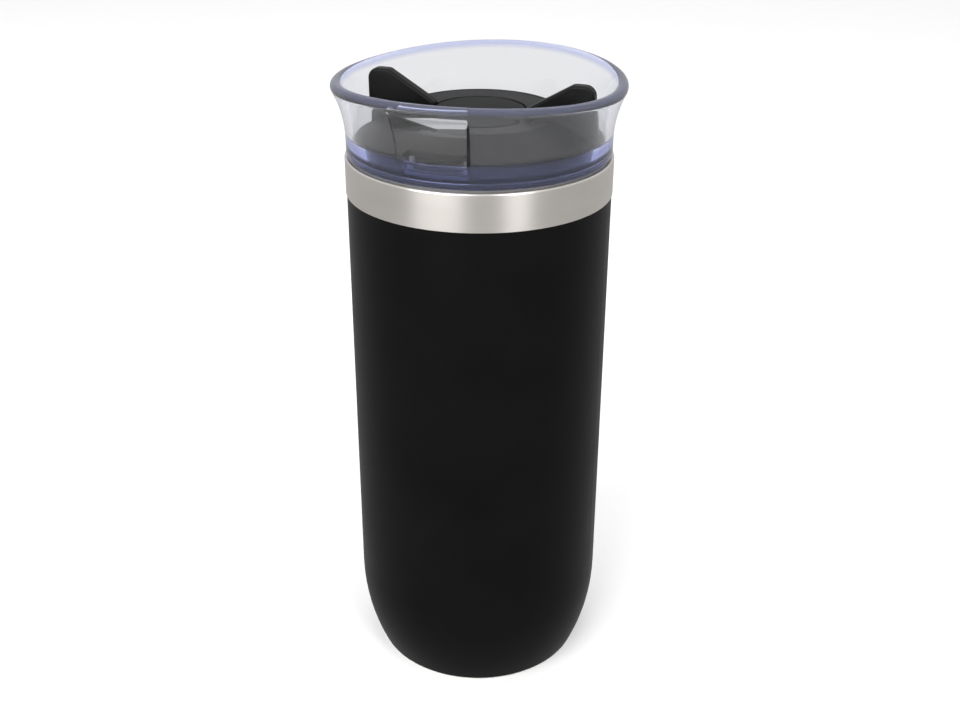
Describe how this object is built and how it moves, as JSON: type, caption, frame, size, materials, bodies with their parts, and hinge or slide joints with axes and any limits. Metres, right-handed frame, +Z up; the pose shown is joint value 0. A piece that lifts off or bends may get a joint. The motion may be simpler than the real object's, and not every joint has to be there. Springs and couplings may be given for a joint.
{
  "type": "insulated tumbler with lid",
  "caption": "Tall black vacuum tumbler with a bare steel band, a clear flared drinking collar and a black twist plug with two wings.",
  "frame": {"origin": "centre of the round foot, on the table plane", "axes": "+Z up along the tumbler's axis; the spout faces -Y and the plug's wings lie along X when open"},
  "size_m": [0.0836, 0.085, 0.1864],
  "materials": {
    "bare_steel": "brushed round the band",
    "black_coat": "satin powder coat",
    "liner_steel": "satin",
    "hidden_steel": "as rolled",
    "base_steel": "satin",
    "getter_metal": "sintered",
    "solder_glass": "fused bead",
    "copper": "bright foil",
    "silicone": "matte",
    "clear_plastic": "clear, polished, faint blue edge tint",
    "black_plastic": "fine satin texture",
    "cap_plastic": "fine satin texture",
    "white_plastic": "natural acetal"
  },
  "bodies": {
    "tumbler": {"outer_shell": "bare_steel", "powder_coat": "black_coat", "inner_liner": "liner_steel", "inner_base": "liner_steel", "middle_base": "hidden_steel", "outer_base": "base_steel", "getter": "getter_metal", "seal_bead": "solder_glass", "copper_foil": "copper"},
    "lid_gasket": {"lid_gasket": "silicone"},
    "collar": {"collar": "clear_plastic"},
    "plug": {"plug_cover": "black_plastic", "centre_cap": "cap_plastic", "plug_core": "black_plastic", "port_gasket": "silicone", "upper_o_ring": "silicone", "lower_o_ring": "silicone", "retaining_ring": "white_plastic"}
  },
  "joints": [
    {"name": "lid_lift", "type": "slide", "parent": "tumbler", "child": "lid_gasket", "axis": [0, 0, 1], "range_m": [0, 0.0361]},
    {"name": "lid_unscrew", "type": "hinge", "parent": "lid_gasket", "child": "collar", "pos_m": [0, 0, 0.16], "axis": [0, 0, 1], "range_deg": [0, 1080]},
    {"name": "plug_twist", "type": "hinge", "parent": "collar", "child": "plug", "pos_m": [0, 0, 0.17], "axis": [0, 0, 1], "range_deg": [-90, 0]}
  ],
  "couplings": [
    {"joint": "lid_lift", "follows": "lid_unscrew", "m_per_rad": 0.0019099}
  ]
}
